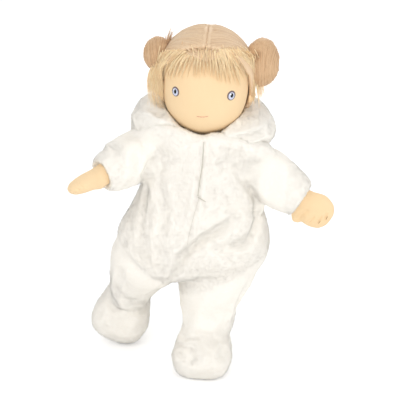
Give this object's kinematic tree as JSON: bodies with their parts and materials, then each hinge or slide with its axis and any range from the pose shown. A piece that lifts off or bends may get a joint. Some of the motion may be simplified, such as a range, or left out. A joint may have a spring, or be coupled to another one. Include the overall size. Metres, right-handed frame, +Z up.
{
  "type": "soft baby doll",
  "caption": "Soft cloth baby doll with a round head, combed hair in side buns and mitten hands, in a hooded plush romper with feet, standing in mid step.",
  "frame": {"origin": "on the floor, under the middle of the bounding box of the standing doll", "axes": "+Z up, -Y the way the doll faces, +X towards the doll's own left"},
  "size_m": [0.2526, 0.144, 0.3524],
  "materials": {
    "hood": "short pile plush",
    "head_skin": "fine cotton jersey knit over wool stuffing",
    "head_core": "wound wool",
    "wig_left": "brushed mohair strands",
    "wig_right": "brushed mohair strands",
    "fringe": "brushed mohair strands",
    "ear_left": "fine cotton jersey knit over wool stuffing",
    "bun_tie_left": "brushed mohair strands",
    "bun_left": "brushed mohair strands",
    "ear_right": "fine cotton jersey knit over wool stuffing",
    "bun_tie_right": "brushed mohair strands",
    "bun_right": "brushed mohair strands",
    "eye_rim_left": "matt embroidery thread",
    "eye_iris_left": "matt embroidery thread",
    "eye_pupil_left": "matt embroidery thread",
    "eye_glint_left": "matt embroidery thread",
    "eye_rim_right": "matt embroidery thread",
    "eye_iris_right": "matt embroidery thread",
    "eye_pupil_right": "matt embroidery thread",
    "eye_glint_right": "matt embroidery thread",
    "mouth": "matt embroidery thread",
    "neck_stump": "fine cotton jersey knit over wool stuffing",
    "neck_tie": "strong cotton thread",
    "arm_left": "fine cotton jersey knit over wool stuffing",
    "sleeve_left": "short pile plush",
    "shoulder_gather_left": "fine cotton jersey knit over wool stuffing",
    "bootie_left": "short pile plush",
    "sole_left": "short pile plush, flattened",
    "leg_left": "fine cotton jersey knit over wool stuffing",
    "romper_leg_left": "short pile plush",
    "hip_gather_left": "fine cotton jersey knit over wool stuffing",
    "arm_right": "fine cotton jersey knit over wool stuffing",
    "sleeve_right": "short pile plush",
    "shoulder_gather_right": "fine cotton jersey knit over wool stuffing",
    "bootie_right": "short pile plush",
    "sole_right": "short pile plush, flattened",
    "leg_right": "fine cotton jersey knit over wool stuffing",
    "romper_leg_right": "short pile plush",
    "hip_gather_right": "fine cotton jersey knit over wool stuffing",
    "torso_body": "fine cotton jersey knit over wool stuffing",
    "romper_front_left": "short pile plush",
    "romper_front_right": "short pile plush",
    "romper_back": "short pile plush",
    "romper_seat": "short pile plush",
    "closure_loop_strip": "woven tape with hooks and loops",
    "closure_hook_strip": "woven tape with hooks and loops",
    "sleeve_cap_left": "short pile plush",
    "sleeve_cap_right": "short pile plush"
  },
  "bodies": {
    "torso": {"torso_body": "torso_body", "romper_front_left": "romper_front_left", "romper_front_right": "romper_front_right", "romper_back": "romper_back", "romper_seat": "romper_seat", "closure_loop_strip": "closure_loop_strip", "closure_hook_strip": "closure_hook_strip", "sleeve_cap_left": "sleeve_cap_left", "sleeve_cap_right": "sleeve_cap_right", "hood": "hood"},
    "neck": {"neck_stump": "neck_stump", "neck_tie": "neck_tie"},
    "head": {"head_skin": "head_skin", "head_core": "head_core", "wig_left": "wig_left", "wig_right": "wig_right", "fringe": "fringe", "mouth": "mouth", "ear_left": "ear_left", "ear_right": "ear_right", "bun_tie_left": "bun_tie_left", "bun_tie_right": "bun_tie_right", "bun_left": "bun_left", "bun_right": "bun_right", "eye_rim_left": "eye_rim_left", "eye_rim_right": "eye_rim_right", "eye_iris_left": "eye_iris_left", "eye_iris_right": "eye_iris_right", "eye_pupil_left": "eye_pupil_left", "eye_pupil_right": "eye_pupil_right", "eye_glint_left": "eye_glint_left", "eye_glint_right": "eye_glint_right"},
    "shoulder_left": {"shoulder_gather_left": "shoulder_gather_left"},
    "arm_left": {"arm_left": "arm_left", "sleeve_left": "sleeve_left"},
    "hip_left": {"hip_gather_left": "hip_gather_left"},
    "leg_left": {"leg_left": "leg_left", "romper_leg_left": "romper_leg_left", "bootie_left": "bootie_left", "sole_left": "sole_left"},
    "shoulder_right": {"shoulder_gather_right": "shoulder_gather_right"},
    "arm_right": {"arm_right": "arm_right", "sleeve_right": "sleeve_right"},
    "hip_right": {"hip_gather_right": "hip_gather_right"},
    "leg_right": {"leg_right": "leg_right", "romper_leg_right": "romper_leg_right", "bootie_right": "bootie_right", "sole_right": "sole_right"}
  },
  "joints": [
    {"name": "neck_turn", "type": "hinge", "parent": "torso", "child": "neck", "pos_m": [0.00121, -0.01303, 0.24274], "axis": [0.0432, -0.0971, 0.9943], "range_deg": [-60, 60], "deforming": ["hood"]},
    {"name": "head_nod", "type": "hinge", "parent": "neck", "child": "head", "pos_m": [0.00121, -0.01303, 0.24274], "axis": [-0.9955, 0.0794, 0.051], "range_deg": [-15, 12], "deforming": ["hood"]},
    {"name": "shoulder_lift_left", "type": "hinge", "parent": "torso", "child": "shoulder_left", "pos_m": [0.0444, -0.01094, 0.21642], "axis": [-0.0149, -0.9945, -0.1035], "range_deg": [-4, 70], "deforming": ["sleeve_cap_left", "hood"]},
    {"name": "arm_swing_left", "type": "hinge", "parent": "shoulder_left", "child": "arm_left", "pos_m": [0.0444, -0.01094, 0.21642], "axis": [-0.5248, 0.0959, -0.8458], "range_deg": [-35, 50], "deforming": ["sleeve_cap_left", "hood"]},
    {"name": "hip_spread_left", "type": "hinge", "parent": "torso", "child": "hip_left", "pos_m": [0.01812, 0.00077, 0.10767], "axis": [-0.0149, -0.9945, -0.1035], "range_deg": [-2, 25], "deforming": ["romper_seat"]},
    {"name": "leg_swing_left", "type": "hinge", "parent": "hip_left", "child": "leg_left", "pos_m": [0.01812, 0.00077, 0.10767], "axis": [-0.9793, -0.0064, 0.2025], "range_deg": [-30, 60], "deforming": ["romper_seat"]},
    {"name": "shoulder_lift_right", "type": "hinge", "parent": "torso", "child": "shoulder_right", "pos_m": [-0.04765, -0.01094, 0.22969], "axis": [0.0149, 0.9945, 0.1035], "range_deg": [-4, 70], "deforming": ["sleeve_cap_right", "hood"]},
    {"name": "arm_swing_right", "type": "hinge", "parent": "shoulder_right", "child": "arm_right", "pos_m": [-0.04765, -0.01094, 0.22969], "axis": [-0.2052, -0.0982, 0.9738], "range_deg": [-60, 25], "deforming": ["sleeve_cap_right", "hood"]},
    {"name": "hip_spread_right", "type": "hinge", "parent": "torso", "child": "hip_right", "pos_m": [-0.05314, 0.00077, 0.11794], "axis": [0.0149, 0.9945, 0.1035], "range_deg": [-10, 12], "deforming": ["romper_seat"]},
    {"name": "leg_swing_right", "type": "hinge", "parent": "hip_right", "child": "leg_right", "pos_m": [-0.05314, 0.00077, 0.11794], "axis": [-0.9416, -0.0208, 0.336], "range_deg": [-8, 90], "deforming": ["romper_seat"]}
  ]
}
